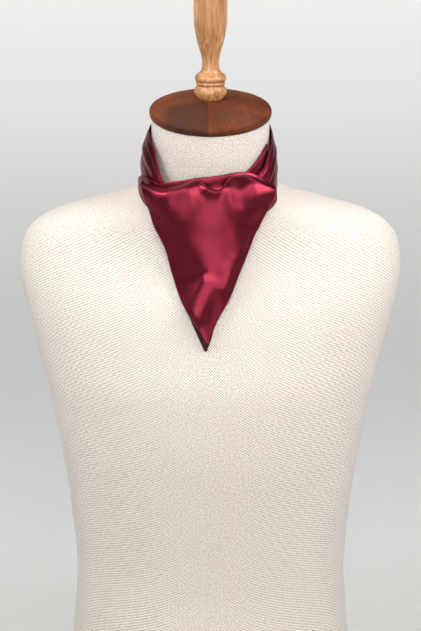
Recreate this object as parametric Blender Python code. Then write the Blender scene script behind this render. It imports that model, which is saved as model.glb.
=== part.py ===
"""Silk cravat worn on a limbless dress form.

Metres, +Z up. The form stands on its flat underside at z = 0, with its axis on the z axis.
The front faces -Y and the viewer's right is +X. Each cloth piece is a sheet whose points
follow the neck or the chest, thickened to a wall by Solidify.
"""

import math
from collections import namedtuple

import bpy
import numpy as np
from mathutils import Vector

# Cloth
CLOTH_WALL = 0.0012
SEAM_GAP = 0.0003

# Dress form
CAP_TILT = math.radians(9.0)
CAP_UNDERSIDE = 0.6324
CAP_RADIUS = 0.0640
CAP_EDGE = 0.0082
CAP_DOME = 0.0108
CAP_DOME_RADIUS = 0.0622
FINIAL_BACK = 0.0015
FORM_SIDES = 44
CAP_SIDES = 48
FINIAL_SIDES = 28
SHARP_EDGE = math.radians(40)

Section = namedtuple("Section", "z half_width front back square lean")
TORSO = (
    Section(0.000, 0.1510, -0.1110, 0.1110, 2.40, 0.0),
    Section(0.004, 0.1530, -0.1130, 0.1130, 2.40, 0.0),
    Section(0.060, 0.1510, -0.1110, 0.1090, 2.40, 0.0),
    Section(0.135, 0.1460, -0.1060, 0.0990, 2.40, 0.0),
    Section(0.215, 0.1520, -0.1110, 0.1010, 2.45, 0.0),
    Section(0.295, 0.1640, -0.1160, 0.1080, 2.50, 0.0),
    Section(0.350, 0.1750, -0.1150, 0.1130, 2.50, 0.0),
    Section(0.400, 0.1880, -0.1050, 0.1150, 2.50, 0.0),
    Section(0.440, 0.1980, -0.0945, 0.1140, 2.45, 0.0),
    Section(0.475, 0.2030, -0.0785, 0.1110, 2.35, 0.0),
    Section(0.498, 0.1990, -0.0665, 0.1060, 2.25, 0.0),
    Section(0.513, 0.1880, -0.0600, 0.1020, 2.15, 0.0),
    Section(0.525, 0.1680, -0.0560, 0.0970, 2.05, 0.0),
    Section(0.534, 0.1400, -0.0540, 0.0920, 2.00, 0.0),
    Section(0.542, 0.1060, -0.0535, 0.0860, 2.00, 0.1),
    Section(0.549, 0.0800, -0.0540, 0.0800, 2.00, 0.2),
    Section(0.558, 0.0680, -0.0555, 0.0735, 2.00, 0.3),
    Section(0.570, 0.0630, -0.0575, 0.0680, 2.00, 0.5),
    Section(0.590, 0.0618, -0.0595, 0.0640, 2.00, 0.8),
    Section(0.612, 0.0618, -0.0610, 0.0622, 2.00, 1.0),
    Section(CAP_UNDERSIDE - SEAM_GAP, 0.0618, -0.0612, 0.0612, 2.00, 1.0),
)

TORSO_LEVELS = (0.030, 0.098, 0.175, 0.255, 0.322, 0.375, 0.420, 0.458, 0.580, 0.601)

# The cap's rim from its underside up, then the dome as shares of its radius.
Rim = namedtuple("Rim", "radius z")
CAP_RIM = (
    Rim(0.0600, 0.0),
    Rim(0.0630, 0.0010),
    Rim(CAP_RADIUS, 0.0038),
    Rim(0.0637, 0.0066),
    Rim(0.0629, 0.0078),
)
DOME_SHARES = (1.0, 0.94, 0.84, 0.70, 0.54, 0.36, 0.18, 0.05)

# The finial's foot follows the dome that it stands on; its rings are lifted above it.
Foot = namedtuple("Foot", "radius lift")
FINIAL_FOOT = (
    Foot(0.0030, 0.0),
    Foot(0.0085, 0.0),
    Foot(0.0136, 0.0),
    Foot(0.0148, 0.0018),
)

Turn = namedtuple("Turn", "z radius")
FINIAL = (
    Turn(0.6535, 0.0158),
    Turn(0.6558, 0.0166),
    Turn(0.6580, 0.0170),
    Turn(0.6615, 0.0161),
    Turn(0.6628, 0.0150),
    Turn(0.6640, 0.0146),
    Turn(0.6652, 0.0151),
    Turn(0.6672, 0.0152),
    Turn(0.6682, 0.0147),
    Turn(0.6692, 0.0154),
    Turn(0.6720, 0.0166),
    Turn(0.6745, 0.0160),
    Turn(0.6768, 0.0135),
    Turn(0.6788, 0.0110),
    Turn(0.6815, 0.0096),
    Turn(0.6860, 0.0090),
    Turn(0.6915, 0.0092),
    Turn(0.6995, 0.0108),
    Turn(0.7035, 0.0119),
    Turn(0.7077, 0.0132),
    Turn(0.7140, 0.0147),
    Turn(0.7200, 0.0160),
    Turn(0.7330, 0.0175),
    Turn(0.7480, 0.0177),
    Turn(0.7620, 0.0174),
    Turn(0.7730, 0.0160),
    Turn(0.7805, 0.0134),
    Turn(0.7855, 0.0092),
    Turn(0.7878, 0.0045),
)

# The neckband: angle in degrees from the front, towards the side that the table is for.
Band = namedtuple("Band", "angle top_z top_radius low_z low_radius bulge")
LEFT_BAND = (
    Band(30, 0.5620, 0.0705, 0.5360, 0.0760, 0.0000),
    Band(42, 0.5765, 0.0740, 0.5420, 0.0775, 0.0005),
    Band(50, 0.5905, 0.0715, 0.5460, 0.0775, 0.0010),
    Band(59, 0.6033, 0.0680, 0.5510, 0.0755, 0.0014),
    Band(75, 0.6135, 0.0660, 0.5590, 0.0738, 0.0018),
    Band(94, 0.6204, 0.0639, 0.5660, 0.0730, 0.0032),
    Band(115, 0.6215, 0.0638, 0.5690, 0.0738, 0.0028),
    Band(145, 0.6220, 0.0638, 0.5720, 0.0755, 0.0022),
    Band(180, 0.6220, 0.0639, 0.5740, 0.0772, 0.0018),
)
RIGHT_BAND = (
    Band(30, 0.5710, 0.0690, 0.5380, 0.0755, 0.0000),
    Band(40, 0.5770, 0.0695, 0.5410, 0.0765, 0.0003),
    Band(52, 0.5845, 0.0695, 0.5460, 0.0762, 0.0008),
    Band(62, 0.5965, 0.0688, 0.5510, 0.0745, 0.0012),
    Band(70, 0.6060, 0.0674, 0.5560, 0.0725, 0.0014),
    Band(80, 0.6150, 0.0652, 0.5610, 0.0712, 0.0015),
    Band(94, 0.6200, 0.0635, 0.5650, 0.0702, 0.0015),
    Band(115, 0.6212, 0.0635, 0.5690, 0.0722, 0.0018),
    Band(145, 0.6220, 0.0637, 0.5720, 0.0750, 0.0018),
    Band(180, 0.6220, 0.0639, 0.5740, 0.0772, 0.0018),
)
SEAM_ANGLE = 0.20
BAND_COLUMNS = 33
BAND_ROWS = 12

# Lengthwise pleats of the neckband, as shares of its width from the top edge down.
Pleat = namedtuple("Pleat", "at_front at_back width height")
PLEATS = (
    Pleat(0.10, 0.14, 0.09, 0.0010),
    Pleat(0.36, 0.42, 0.11, 0.0015),
    Pleat(0.66, 0.72, 0.12, 0.0014),
)
PLEAT_FADE = 6

# The right band's inner pleat, rolled over at its top.
Tuck = namedtuple("Tuck", "angle top_z height")
RIGHT_TUCK = (
    Tuck(30, 0.5790, 0.0200),
    Tuck(36, 0.5850, 0.0210),
    Tuck(43, 0.5905, 0.0200),
    Tuck(55, 0.6000, 0.0160),
    Tuck(66, 0.6080, 0.0090),
)
TUCK_ROLL = 0.0016
TUCK_GAP = 0.0016
TUCK_BACK = 0.7
TUCK_FLAT = 0.15
TUCK_COLUMNS = 13
TUCK_ROWS = 11

# The crossing in front of the throat: angle in degrees, negative to the left.
Wrap = namedtuple("Wrap", "angle top_z top_radius low_z low_radius")
CROSSING = (
    Wrap(-82, 0.5690, 0.0766, 0.5580, 0.0770),
    Wrap(-64, 0.5756, 0.0764, 0.5490, 0.0790),
    Wrap(-50, 0.5739, 0.0777, 0.5450, 0.0828),
    Wrap(-44, 0.5725, 0.0778, 0.5430, 0.0840),
    Wrap(-31, 0.5766, 0.0755, 0.5410, 0.0850),
    Wrap(-22, 0.5786, 0.0731, 0.5400, 0.0856),
    Wrap(-12, 0.5812, 0.0702, 0.5400, 0.0858),
    Wrap(0, 0.5826, 0.0690, 0.5400, 0.0858),
    Wrap(13, 0.5843, 0.0677, 0.5400, 0.0858),
    Wrap(23, 0.5855, 0.0671, 0.5405, 0.0855),
    Wrap(34, 0.5848, 0.0686, 0.5415, 0.0848),
    Wrap(43, 0.5805, 0.0718, 0.5430, 0.0835),
    Wrap(52, 0.5710, 0.0768, 0.5450, 0.0805),
    Wrap(62, 0.5620, 0.0780, 0.5500, 0.0786),
)
CROSSING_FLARE = 0.8
CROSSING_COLUMNS = 37
CROSSING_ROWS = 10

# The surface that the front blade lies on: an arc of this radius at each height.
Front = namedtuple("Front", "z depth radius")
FRONT = (
    Front(0.405, -0.1100, 0.230),
    Front(0.430, -0.1055, 0.212),
    Front(0.460, -0.0995, 0.190),
    Front(0.490, -0.0945, 0.158),
    Front(0.520, -0.0915, 0.130),
    Front(0.545, -0.0900, 0.106),
    Front(0.560, -0.0870, 0.092),
    Front(0.575, -0.0800, 0.085),
    Front(0.590, -0.0660, 0.080),
)

# The front blade's outline.
Side = namedtuple("Side", "z left right")
BLADE_SIDES = (
    Side(0.4165, -0.0060, -0.0040),
    Side(0.4318, -0.0140, 0.0040),
    Side(0.4416, -0.0211, 0.0092),
    Side(0.4604, -0.0332, 0.0204),
    Side(0.4842, -0.0426, 0.0303),
    Side(0.5070, -0.0486, 0.0405),
    Side(0.5215, -0.0557, 0.0468),
    Side(0.5310, -0.0612, 0.0525),
    Side(0.5427, -0.0646, 0.0584),
    Side(0.5534, -0.0680, 0.0638),
    Side(0.5620, -0.0708, 0.0680),
    Side(0.5730, -0.0732, 0.0696),
)
LEFT_CORNER = 0.5725
RIGHT_CORNER = 0.5690
BLADE_TIP = 0.4165
ROLL_RADIUS = 0.0018
TOP_MARGIN = 0.006
SIDE_ROLL = 0.0019
NARROW_ROLL = 0.2
FULL_ROLL_WIDTH = 0.030
TOP_FADE = 3
BLADE_ROWS = 34
BLADE_COLUMNS = 27
FIRST_ROW = 0.025
ROW_GROWTH = 1.1
SIDE_TURNS = (0.0, 0.33, 0.67, 1.0)

Top = namedtuple("Top", "x z")
BLADE_TOP = (
    Top(-0.0732, 0.5725),
    Top(-0.0602, 0.5704),
    Top(-0.0510, 0.5697),
    Top(-0.0394, 0.5732),
    Top(-0.0271, 0.5770),
    Top(-0.0158, 0.5805),
    Top(-0.0077, 0.5768),
    Top(0.0010, 0.5728),
    Top(0.0075, 0.5716),
    Top(0.0115, 0.5735),
    Top(0.0150, 0.5778),
    Top(0.0190, 0.5812),
    Top(0.0280, 0.5838),
    Top(0.0385, 0.5842),
    Top(0.0489, 0.5808),
    Top(0.0592, 0.5750),
    Top(0.0696, 0.5690),
)

# Large folds of the front: a ridge (positive height) or a trough along a straight line.
Fold = namedtuple("Fold", "x0 z0 x1 z1 width height")
FOLDS = (
    Fold(-0.0056, 0.4790, -0.0190, 0.4500, 0.0040, 0.0022),
    Fold(0.0660, 0.5600, 0.0250, 0.5180, 0.0085, -0.0045),
    Fold(0.0240, 0.5160, 0.0100, 0.4720, 0.0075, 0.0030),
    Fold(0.0000, 0.5680, 0.0160, 0.5570, 0.0070, -0.0028),
    Fold(0.0200, 0.5770, 0.0330, 0.5740, 0.0070, -0.0022),
    Fold(-0.0400, 0.5660, -0.0180, 0.5760, 0.0050, -0.0022),
)

# The cloth turns away from the viewer to the left of this line.
Bend = namedtuple("Bend", "z x")
LEFT_BEND = (
    Bend(0.440, -0.0150),
    Bend(0.450, -0.0160),
    Bend(0.477, -0.0077),
    Bend(0.512, -0.0260),
    Bend(0.547, -0.0466),
    Bend(0.567, -0.0698),
)
BEND_SLOPE = 0.30
BEND_SOFTNESS = 0.004

# The under blade behind the front blade.
Under = namedtuple("Under", "z depth left right")
UNDER_BLADE = (
    Under(0.4065, 0.0041, -0.0062, -0.0040),
    Under(0.4200, 0.0041, -0.0125, 0.0010),
    Under(0.4416, 0.0041, -0.0222, 0.0060),
    Under(0.4604, 0.0043, -0.0285, 0.0150),
    Under(0.4842, 0.0045, -0.0365, 0.0240),
    Under(0.5070, 0.0050, -0.0440, 0.0330),
    Under(0.5250, 0.0070, -0.0480, 0.0390),
    Under(0.5400, 0.0100, -0.0420, 0.0370),
    Under(0.5520, 0.0125, -0.0340, 0.0320),
    Under(0.5640, 0.0150, -0.0260, 0.0260),
)
UNDER_ROWS = 24
UNDER_COLUMNS = 11


def clear_scene():
    for item in list(bpy.data.objects):
        bpy.data.objects.remove(item)


def material(name, colour, roughness):
    made = bpy.data.materials.new(name)
    made.use_nodes = True
    shader = made.node_tree.nodes["Principled BSDF"]
    shader.inputs["Base Color"].default_value = (*colour, 1.0)
    shader.inputs["Roughness"].default_value = roughness
    shader.inputs["Metallic"].default_value = 0.0
    return made


def table_curve(rows, column):
    """A smooth function from a table's first column to another one. It never overshoots a row."""
    places = np.array([row[0] for row in rows], float)
    values = np.array([getattr(row, column) for row in rows], float)
    steps = np.diff(places)
    rises = np.diff(values) / steps
    before, after = rises[:-1], rises[1:]
    same_way = before * after > 0
    tangents = np.zeros(len(values))
    tangents[0], tangents[-1] = rises[0], rises[-1]
    tangents[1:-1][same_way] = 2 * (before * after)[same_way] / (before + after)[same_way]

    def value(place):
        place = min(max(place, places[0]), places[-1])
        i = min(int(np.searchsorted(places, place, "right")) - 1, len(steps) - 1)
        t = (place - places[i]) / steps[i]
        start = (1 + 2 * t) * (1 - t) ** 2 * values[i] + t * (1 - t) ** 2 * steps[i] * tangents[i]
        end = t * t * (3 - 2 * t) * values[i + 1] + t * t * (t - 1) * steps[i] * tangents[i + 1]
        return float(start + end)

    return value


def lerp(a, b, share):
    return a + (b - a) * share


def spread(count):
    """Evenly spaced shares from 0 to 1."""
    return [i / (count - 1) for i in range(count)]


def add_object(name, verts, faces, finish, outward=True):
    """A mesh object. Its faces are turned over where they were listed facing inwards."""
    mesh = bpy.data.meshes.new(name)
    mesh.from_pydata(verts, [], faces)
    if not outward:
        mesh.flip_normals()
    mesh.shade_smooth()
    mesh.materials.append(finish)
    made = bpy.data.objects.new(name, mesh)
    bpy.context.scene.collection.objects.link(made)
    return made


def lofted(name, rings, finish):
    """A closed body through rings of points, listed from the bottom up and anticlockwise."""
    sides = len(rings[0])
    faces = [tuple(reversed(range(sides)))]
    for level in range(len(rings) - 1):
        for side in range(sides):
            a = level * sides + side
            b = level * sides + (side + 1) % sides
            faces.append((a, b, b + sides, a + sides))
    last = (len(rings) - 1) * sides
    faces.append(tuple(range(last, last + sides)))
    made = add_object(name, [point for ring in rings for point in ring], faces, finish)
    made.data.set_sharp_from_angle(angle=SHARP_EDGE)
    return made


def cloth(name, grid, finish, outward=True):
    """A wall of cloth from a grid of points on its outer face."""
    columns = len(grid[0])
    faces = []
    for row in range(len(grid) - 1):
        for column in range(columns - 1):
            a = row * columns + column
            faces.append((a, a + columns, a + columns + 1, a + 1))
    made = add_object(name, [point for row in grid for point in row], faces, finish, outward)
    wall = made.modifiers.new("Wall", "SOLIDIFY")
    wall.thickness = CLOTH_WALL
    wall.offset = -1.0
    return made


def rolled(distance, radius):
    """How far from a folded edge and how far behind the face a point lies.

    The distance is along the cloth from the fold, positive on the face and negative behind it.
    """
    quarter = radius * math.pi / 2
    if abs(distance) < quarter:
        turn = distance / radius
        return radius * (1 - math.cos(turn)), radius * (1 - math.sin(turn))
    along = radius + abs(distance) - quarter
    return along, 0.0 if distance > 0 else 2 * radius


def torso(finish):
    """The linen torso with its neck, whose top follows the tilt of the cap."""
    columns = {name: table_curve(TORSO, name) for name in Section._fields[1:]}
    levels = [row.z for row in TORSO] + list(TORSO_LEVELS)
    rings = []
    for z in sorted(levels):
        section = Section(z, *(columns[name](z) for name in Section._fields[1:]))
        middle = (section.front + section.back) / 2
        depth = (section.back - section.front) / 2
        ring = []
        for side in range(FORM_SIDES):
            angle = math.tau * side / FORM_SIDES
            power = 2 / section.square
            x = section.half_width * math.copysign(abs(math.cos(angle)) ** power, math.cos(angle))
            y = depth * math.copysign(abs(math.sin(angle)) ** power, math.sin(angle))
            rise = section.lean * (middle + y) * math.tan(CAP_TILT)
            ring.append(Vector((x, middle + y, z + rise)))
        rings.append(ring)
    return lofted("form_torso", rings, finish)


def turned_ring(radius, z, sides):
    return [
        Vector((radius * math.cos(math.tau * i / sides), radius * math.sin(math.tau * i / sides), z))
        for i in range(sides)
    ]


def dome_height(radius):
    return CAP_EDGE + CAP_DOME * (1 - (radius / CAP_DOME_RADIUS) ** 2)


def neck_cap(finish):
    """The turned disc on the neck, tilted forward, with a rounded rim and a low dome."""
    rings = [turned_ring(rim.radius, rim.z, CAP_SIDES) for rim in CAP_RIM]
    for share in DOME_SHARES:
        radius = CAP_DOME_RADIUS * share
        rings.append(turned_ring(radius, dome_height(radius), CAP_SIDES))
    made = lofted("neck_cap", rings, finish)
    made.location = (0.0, 0.0, CAP_UNDERSIDE)
    made.rotation_euler = (CAP_TILT, 0.0, 0.0)
    return made


def dome_surface(x, y):
    """The height of the tilted cap's top above the point (x, y)."""
    z = CAP_UNDERSIDE + CAP_EDGE + CAP_DOME
    for _ in range(12):
        across = y * math.cos(CAP_TILT) + (z - CAP_UNDERSIDE) * math.sin(CAP_TILT)
        height = dome_height(math.hypot(x, across))
        z = CAP_UNDERSIDE + (height + y * math.sin(CAP_TILT)) / math.cos(CAP_TILT)
    return z


def finial(finish):
    """The turned post. Its foot is shaped to the tilted dome that it stands on."""
    rings = []
    for foot in FINIAL_FOOT:
        ring = turned_ring(foot.radius, 0.0, FINIAL_SIDES)
        for point in ring:
            point.y += FINIAL_BACK
            point.z = dome_surface(point.x, point.y) + SEAM_GAP + foot.lift
        rings.append(ring)
    for turn in FINIAL:
        ring = turned_ring(turn.radius, turn.z, FINIAL_SIDES)
        for point in ring:
            point.y += FINIAL_BACK
        rings.append(ring)
    return lofted("finial", rings, finish)


def polar(angle, radius, z):
    """A point at an angle from the front, in degrees, positive towards the viewer's right."""
    turn = math.radians(angle)
    return Vector((radius * math.sin(turn), -radius * math.cos(turn), z))


def band_radius(rows, angle, share):
    """The neckband's outer radius, a share of its width below its top edge."""
    top = table_curve(rows, "top_radius")(angle)
    low = table_curve(rows, "low_radius")(angle)
    bulge = table_curve(rows, "bulge")(angle)
    radius = lerp(top, low, share) + bulge * math.sin(math.pi * share)
    back = (angle - rows[0].angle) / (180 - rows[0].angle)
    edge_fade = min(1.0, PLEAT_FADE * share, PLEAT_FADE * (1 - share))
    for pleat in PLEATS:
        middle = lerp(pleat.at_front, pleat.at_back, back)
        radius += edge_fade * pleat.height * math.exp(-(((share - middle) / pleat.width) ** 2))
    return radius


def neckband(name, rows, side, finish):
    """One half of the pleated neckband, from the throat to the centre back seam."""
    top = table_curve(rows, "top_z")
    low = table_curve(rows, "low_z")
    angles = [lerp(rows[0].angle, 180 - SEAM_ANGLE, share) for share in spread(BAND_COLUMNS)]
    grid = []
    for share in spread(BAND_ROWS):
        row = []
        for angle in angles:
            z = lerp(top(angle), low(angle), share)
            row.append(polar(side * angle, band_radius(rows, angle, share), z))
        grid.append(row)
    return cloth(name, grid, finish, outward=side > 0)


def right_tuck(finish):
    """The inner pleat that shows inside the right band, folded over at its top."""
    top = table_curve(RIGHT_TUCK, "top_z")
    height = table_curve(RIGHT_TUCK, "height")
    band_top = table_curve(RIGHT_BAND, "top_z")
    band_low = table_curve(RIGHT_BAND, "low_z")
    angles = [lerp(RIGHT_TUCK[0].angle, RIGHT_TUCK[-1].angle, share) for share in spread(TUCK_COLUMNS)]
    quarter = TUCK_ROLL * math.pi / 2
    grid = []
    for share in spread(TUCK_ROWS):
        row = []
        for angle in angles:
            reach = height(angle)
            distance = lerp(-TUCK_BACK * reach, reach, share)
            if TUCK_FLAT < share < 1 - TUCK_FLAT:
                distance = lerp(-quarter, quarter, (share - TUCK_FLAT) / (1 - 2 * TUCK_FLAT))
            along, behind = rolled(distance, TUCK_ROLL)
            z = top(angle) - along
            share_down = (band_top(angle) - z) / (band_top(angle) - band_low(angle))
            outer = band_radius(RIGHT_BAND, angle, max(share_down, 0.0)) - CLOTH_WALL - TUCK_GAP
            row.append(polar(angle, outer - behind, z))
        grid.append(row)
    return cloth("right_tuck", grid, finish)


def throat_crossing(finish):
    """Where the right end crosses the throat and turns round the left band."""
    columns = {name: table_curve(CROSSING, name) for name in Wrap._fields[1:]}
    grid = []
    for share in spread(CROSSING_ROWS):
        row = []
        for across in spread(CROSSING_COLUMNS):
            angle = lerp(CROSSING[0].angle, CROSSING[-1].angle, across)
            z = lerp(columns["top_z"](angle), columns["low_z"](angle), share)
            flare = share**CROSSING_FLARE
            radius = lerp(columns["top_radius"](angle), columns["low_radius"](angle), flare)
            row.append(polar(angle, radius, z))
        grid.append(row)
    return cloth("throat_crossing", grid, finish)


front_depth = table_curve(FRONT, "depth")
front_radius = table_curve(FRONT, "radius")
bend_line = table_curve(LEFT_BEND, "x")


def fold_height(x, z):
    """How far the large folds move the front's cloth outwards."""
    height = 0.0
    for fold in FOLDS:
        run = Vector((fold.x1 - fold.x0, fold.z1 - fold.z0))
        offset = Vector((x - fold.x0, z - fold.z0))
        share = min(max(offset.dot(run) / run.length_squared, 0.0), 1.0)
        away = (offset - run * share).length
        height += fold.height * math.exp(-((away / fold.width) ** 2))
    return height


def bend_depth(x, z):
    """How far the cloth left of the bend line falls back."""
    reach = (bend_line(z) - x) / BEND_SOFTNESS
    return BEND_SLOPE * BEND_SOFTNESS * math.log1p(math.exp(min(reach, 40.0)))


def front_point(angle, z, inset):
    """A point on the front surface, inset towards the neck. The angle is about its arc's centre."""
    radius = front_radius(z)
    inset += bend_depth(radius * math.sin(angle), z)
    reach = radius - inset
    return Vector((reach * math.sin(angle), front_depth(z) + radius - reach * math.cos(angle), z))


def arc_angle(x, z):
    return math.asin(x / front_radius(z))


def blade_top():
    """How far the blade's top edge rises above the straight line between its corners, by share."""
    top = table_curve(BLADE_TOP, "z")
    left_angle = arc_angle(BLADE_SIDES[-1].left, LEFT_CORNER)
    right_angle = arc_angle(BLADE_SIDES[-1].right, RIGHT_CORNER)

    def rise(share):
        straight = lerp(LEFT_CORNER, RIGHT_CORNER, share)
        angle = lerp(left_angle, right_angle, share)
        return top(front_radius(straight) * math.sin(angle)) - straight

    return rise


def front_blade(finish):
    """The wide end that falls over the crossing, its top folded over and its sides rolled back."""
    left = table_curve(BLADE_SIDES, "left")
    right = table_curve(BLADE_SIDES, "right")
    rise = blade_top()
    quarter = ROLL_RADIUS * math.pi / 2
    rows = [(0.0, distance) for distance in (-TOP_MARGIN, -quarter, -quarter / 2, 0.0, quarter / 2, quarter)]
    rows += [(lerp(FIRST_ROW, 1.0, share**ROW_GROWTH), None) for share in spread(BLADE_ROWS)]
    across = [(-1, turn) for turn in SIDE_TURNS]
    across += [(0, share) for share in spread(BLADE_COLUMNS)[1:-1]]
    across += [(1, turn) for turn in reversed(SIDE_TURNS)]
    grid = []
    for down, over in rows:
        left_z = lerp(LEFT_CORNER, BLADE_TIP, down)
        right_z = lerp(RIGHT_CORNER, BLADE_TIP, down)
        width = right(right_z) - left(left_z)
        roll = min(SIDE_ROLL, NARROW_ROLL * width)
        curl = min(1.0, width / FULL_ROLL_WIDTH)
        drop, behind_top = (0.0, 0.0) if over is None else rolled(over, ROLL_RADIUS)
        row = []
        for side, place in across:
            along, behind = rolled(place * roll * math.pi / 2, roll) if side else (roll, 0.0)
            share = (side + 1) / 2 if side else place
            left_angle = arc_angle(left(left_z), left_z) + along / front_radius(left_z)
            right_angle = arc_angle(right(right_z), right_z) - along / front_radius(right_z)
            z = lerp(left_z, right_z, share) + rise(share) * (1 - down) ** TOP_FADE - drop
            point = front_point(lerp(left_angle, right_angle, share), z, curl * behind + behind_top)
            if over is None:
                point.y -= fold_height(point.x, z)
            row.append(point)
        grid.append(row)
    return cloth("front_blade", grid, finish)


def under_blade(finish):
    """The other pointed end, whose tip shows below the front blade."""
    columns = {name: table_curve(UNDER_BLADE, name) for name in Under._fields[1:]}
    grid = []
    for down in spread(UNDER_ROWS):
        z = lerp(UNDER_BLADE[-1].z, UNDER_BLADE[0].z, down)
        row = []
        for share in spread(UNDER_COLUMNS):
            x = lerp(columns["left"](z), columns["right"](z), share)
            row.append(front_point(arc_angle(x, z), z, columns["depth"](z)))
        grid.append(row)
    return cloth("under_blade", grid, finish)


clear_scene()
SILK = material("silk_satin", colour=(0.33, 0.030, 0.062), roughness=0.35)
LINEN = material("linen_cover", colour=(0.76, 0.70, 0.64), roughness=0.90)
CAP_WOOD = material("stained_walnut", colour=(0.15, 0.052, 0.026), roughness=0.35)
FINIAL_WOOD = material("varnished_beech", colour=(0.42, 0.20, 0.095), roughness=0.35)

torso(LINEN)
neck_cap(CAP_WOOD)
finial(FINIAL_WOOD)
neckband("neckband_left", LEFT_BAND, -1, SILK)
neckband("neckband_right", RIGHT_BAND, 1, SILK)
right_tuck(SILK)
throat_crossing(SILK)
front_blade(SILK)
under_blade(SILK)
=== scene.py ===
# %% [markdown]
# # A silk cravat on a dress form
#
# The object is a wine-red silk cravat, worn round the linen neck of a limbless dress form. The form
# has a stained wooden neck cap and a turned wooden post. A cravat is one long strip: its middle is
# pleated into a neckband and its two ends are wide, pointed blades. One end crosses the throat, comes
# up behind itself and falls over the front.
#
# Satin shows its shape only by where it shines, so most of the work is in the folds and the lights.
# The scene loads the plain solids first and dresses them piece by piece.

# %% Load the solids that everything is fitted to
import math
from collections import namedtuple

import bpy
import numpy as np
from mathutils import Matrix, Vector


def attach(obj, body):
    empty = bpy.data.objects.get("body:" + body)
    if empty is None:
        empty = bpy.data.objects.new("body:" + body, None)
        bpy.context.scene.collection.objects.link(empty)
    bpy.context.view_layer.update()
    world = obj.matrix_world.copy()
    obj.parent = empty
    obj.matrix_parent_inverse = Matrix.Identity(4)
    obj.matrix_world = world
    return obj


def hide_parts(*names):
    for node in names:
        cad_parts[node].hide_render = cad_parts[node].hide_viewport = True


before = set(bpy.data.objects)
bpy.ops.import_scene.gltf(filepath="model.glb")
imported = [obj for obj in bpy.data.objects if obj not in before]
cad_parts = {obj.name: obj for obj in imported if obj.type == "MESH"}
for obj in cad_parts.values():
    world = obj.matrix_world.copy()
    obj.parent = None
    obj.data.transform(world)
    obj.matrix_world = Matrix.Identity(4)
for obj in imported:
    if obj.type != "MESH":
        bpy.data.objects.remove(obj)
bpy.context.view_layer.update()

# %% [markdown]
# A smooth curve through the rows of a short table gives every width, height and radius here. The
# curve is a monotone cubic: it passes through each row and never bulges past one, so a table reads
# like a maker's list of measurements. It works on whole arrays, because the cloth has many points.

# %% Curves through tables
def table_curve(rows, column):
    """A smooth function from a table's first column to another of its columns."""
    places = np.array([row[0] for row in rows], float)
    values = np.array([getattr(row, column) for row in rows], float)
    steps = np.diff(places)
    rises = np.diff(values) / steps
    before, after = rises[:-1], rises[1:]
    same_way = before * after > 0
    tangents = np.zeros(len(values))
    tangents[0], tangents[-1] = rises[0], rises[-1]
    tangents[1:-1][same_way] = 2 * (before * after)[same_way] / (before + after)[same_way]

    def value(place):
        place = np.clip(np.asarray(place, float), places[0], places[-1])
        i = np.clip(np.searchsorted(places, place, "right") - 1, 0, len(steps) - 1)
        t = (place - places[i]) / steps[i]
        start = (1 + 2 * t) * (1 - t) ** 2 * values[i] + t * (1 - t) ** 2 * steps[i] * tangents[i]
        end = t * t * (3 - 2 * t) * values[i + 1] + t * t * (t - 1) * steps[i] * tangents[i + 1]
        return start + end

    return value


def mix(a, b, share):
    return a + (b - a) * share


def shares(count):
    """Evenly spaced shares from 0 to 1."""
    return np.linspace(0.0, 1.0, count)


print("five even shares:", shares(5))

# %% [markdown]
# Every piece of cloth is a grid of points, because a woven cloth is a grid of threads. The grid
# also gives the texture its directions: U runs across the piece and V down it, both in metres, so a
# weave keeps its real size on any fold. A solidify modifier turns the sheet into a thin shell.

# %% Grids of points into meshes
SHELL = 0.0006


def arc_lengths(points, axis):
    steps = np.linalg.norm(np.diff(points, axis=axis), axis=-1)
    start = np.zeros_like(np.take(steps, [0], axis=axis))
    return np.concatenate([start, np.cumsum(steps, axis=axis)], axis=axis)


def grid_object(name, points, finish, around=False, inward=False):
    """A mesh from rows of points. An around grid joins its last column to its first."""
    rows, columns = points.shape[:2]
    across = arc_lengths(points, 1)
    across = across - across[:, -1:] / 2
    down = arc_lengths(points, 0)
    last = columns if around else columns - 1
    faces = []
    corners = []
    for row in range(rows - 1):
        for column in range(last):
            beside = (column + 1) % columns
            corner = [(row, column), (row + 1, column), (row + 1, beside), (row, beside)]
            faces.append([r * columns + c for r, c in corner])
            wrapped = around and beside == 0
            extra = across[row, -1] + np.linalg.norm(points[row, 0] - points[row, -1])
            corners += [(extra if wrapped and c == 0 else across[row, c], down[r, c]) for r, c in corner]
    mesh = bpy.data.meshes.new(name)
    mesh.from_pydata(points.reshape(-1, 3).tolist(), [], faces)
    layer = mesh.uv_layers.new(name="cloth")
    layer.data.foreach_set("uv", np.array(corners, np.float32).reshape(-1))
    if inward:
        mesh.flip_normals()
    mesh.shade_smooth()
    mesh.materials.append(finish)
    made = bpy.data.objects.new(name, mesh)
    bpy.context.scene.collection.objects.link(made)
    return made


def cloth_shell(name, points, finish, inward=False):
    made = grid_object(name, points, finish, inward=inward)
    shell = made.modifiers.new("Shell", "SOLIDIFY")
    shell.thickness = SHELL
    shell.offset = -1.0
    return made


print("thickness of the silk in metres:", SHELL)

# %% [markdown]
# Colours are picked as sRGB hex values, the way a screen shows them. A shader works in linear light,
# so one function turns the one into the other. A second adds a shader node with its settings and
# links, which keeps every material below to a few readable lines. Patterns are given by their real
# sizes in millimetres, and per_metre turns those into the scale of a texture.

# %% Colour and shader helpers
def hex_colour(code):
    levels = [int(code[i : i + 2], 16) / 255 for i in (1, 3, 5)]
    linear = [level / 12.92 if level <= 0.04045 else ((level + 0.055) / 1.055) ** 2.4 for level in levels]
    return (*linear, 1.0)


def new_material(name):
    made = bpy.data.materials.new(name)
    made.use_nodes = True
    tree = made.node_tree
    return made, tree, tree.nodes["Principled BSDF"]


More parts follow.
